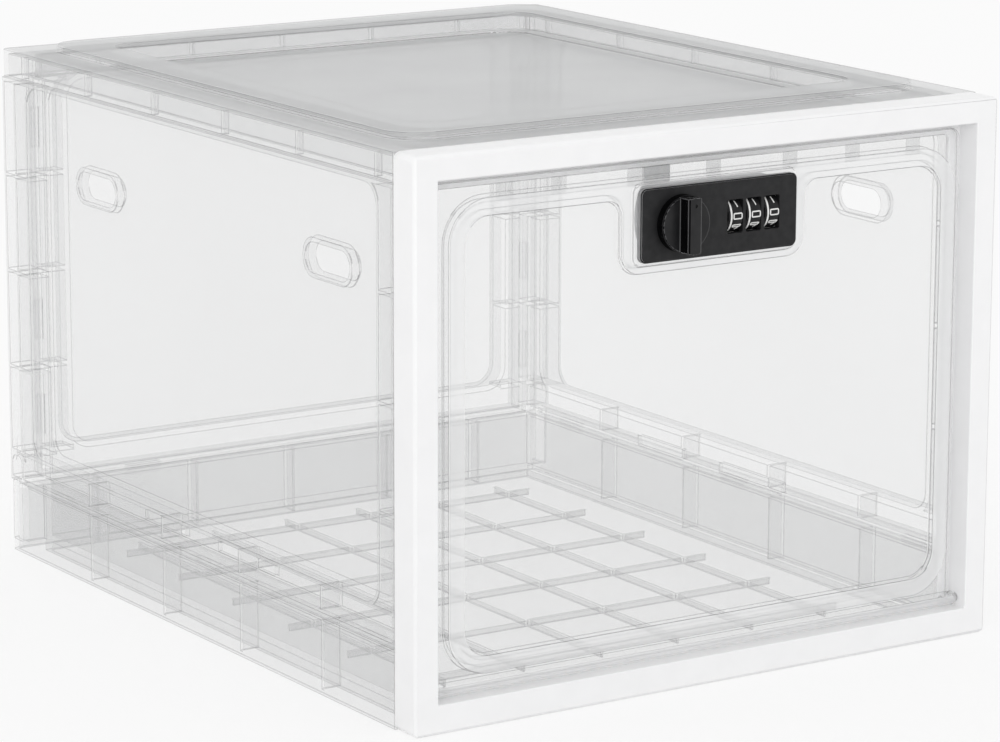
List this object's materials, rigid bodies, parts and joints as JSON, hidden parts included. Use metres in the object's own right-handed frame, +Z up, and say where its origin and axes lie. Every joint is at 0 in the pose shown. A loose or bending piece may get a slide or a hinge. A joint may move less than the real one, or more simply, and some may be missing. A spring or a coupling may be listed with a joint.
{
  "type": "lockable storage box",
  "caption": "Clear lockable storage box with a white front frame, a drop-front door, hand holes, a stacking rim and a knob-turned cam lock worked by number wheels.",
  "frame": {"origin": "bottom centre of the whole object's box, the knob's projection included, on the surface it stands on", "axes": "+Z up, +Y from the front door to the back wall, +X to the right seen from the front"},
  "size_m": [0.26, 0.325, 0.2125],
  "materials": {
    "clear_shell": "clear, slightly frosted moulding",
    "clear_door": "clear moulding",
    "white_frame": "satin white moulding",
    "black_plate": "matt black",
    "black_knob": "semi-gloss black",
    "number_wheels": "matt black with white figures",
    "lock_body": "grey die-cast metal",
    "steel_parts": "zinc-plated",
    "brass_sleeves": "turned"
  },
  "bodies": {
    "case": {"base_tray": "clear_shell", "left_side_panel": "clear_shell", "right_side_panel": "clear_shell", "back_panel": "clear_shell", "top_cover": "clear_shell", "front_frame": "white_frame", "strike_plate": "steel_parts", "strike_rivets": "steel_parts"},
    "door": {"door_panel": "clear_door", "hinge_pin_left": "clear_door", "hinge_pin_right": "clear_door", "lock_faceplate": "black_plate", "lock_housing": "lock_body", "lock_back_cover": "lock_body", "lock_mounting_screws": "steel_parts", "lock_cover_screws": "steel_parts", "wheel_axle": "steel_parts", "detent_spring": "steel_parts"},
    "turning_knob": {"knob": "black_knob", "spindle": "steel_parts", "locking_cam": "steel_parts", "cam_screw": "steel_parts"},
    "wheel_1": {"number_wheel_1": "number_wheels", "code_sleeve_1": "brass_sleeves"},
    "wheel_2": {"number_wheel_2": "number_wheels", "code_sleeve_2": "brass_sleeves"},
    "wheel_3": {"number_wheel_3": "number_wheels", "code_sleeve_3": "brass_sleeves"},
    "fence_bar": {"fence": "steel_parts"},
    "code_reset": {"reset_button": "black_plate"}
  },
  "joints": [
    {"name": "door_hinge", "type": "hinge", "parent": "case", "child": "door", "pos_m": [0, -0.14705, 0.014], "axis": [1, 0, 0], "range_deg": [0, 87]},
    {"name": "knob_turn", "type": "hinge", "parent": "door", "child": "turning_knob", "pos_m": [-0.0164, -0.15355, 0.1753], "axis": [0, -1, 0], "range_deg": [0, 90]},
    {"name": "wheel_1_spin", "type": "hinge", "parent": "door", "child": "wheel_1", "pos_m": [0.008, -0.14605, 0.1753], "axis": [1, 0, 0], "continuous": true},
    {"name": "wheel_2_spin", "type": "hinge", "parent": "door", "child": "wheel_2", "pos_m": [0.01625, -0.14605, 0.1753], "axis": [1, 0, 0], "continuous": true},
    {"name": "wheel_3_spin", "type": "hinge", "parent": "door", "child": "wheel_3", "pos_m": [0.0245, -0.14605, 0.1753], "axis": [1, 0, 0], "continuous": true},
    {"name": "fence_slide", "type": "slide", "parent": "door", "child": "fence_bar", "axis": [0, 0, 1], "range_m": [0, 0.0013], "stiffness_N_per_m": 50, "springref_m": -0.001},
    {"name": "reset_press", "type": "slide", "parent": "door", "child": "code_reset", "axis": [0, -1, 0], "range_m": [0, 0.0012], "stiffness_N_per_m": 200, "springref_m": -0.001}
  ]
}
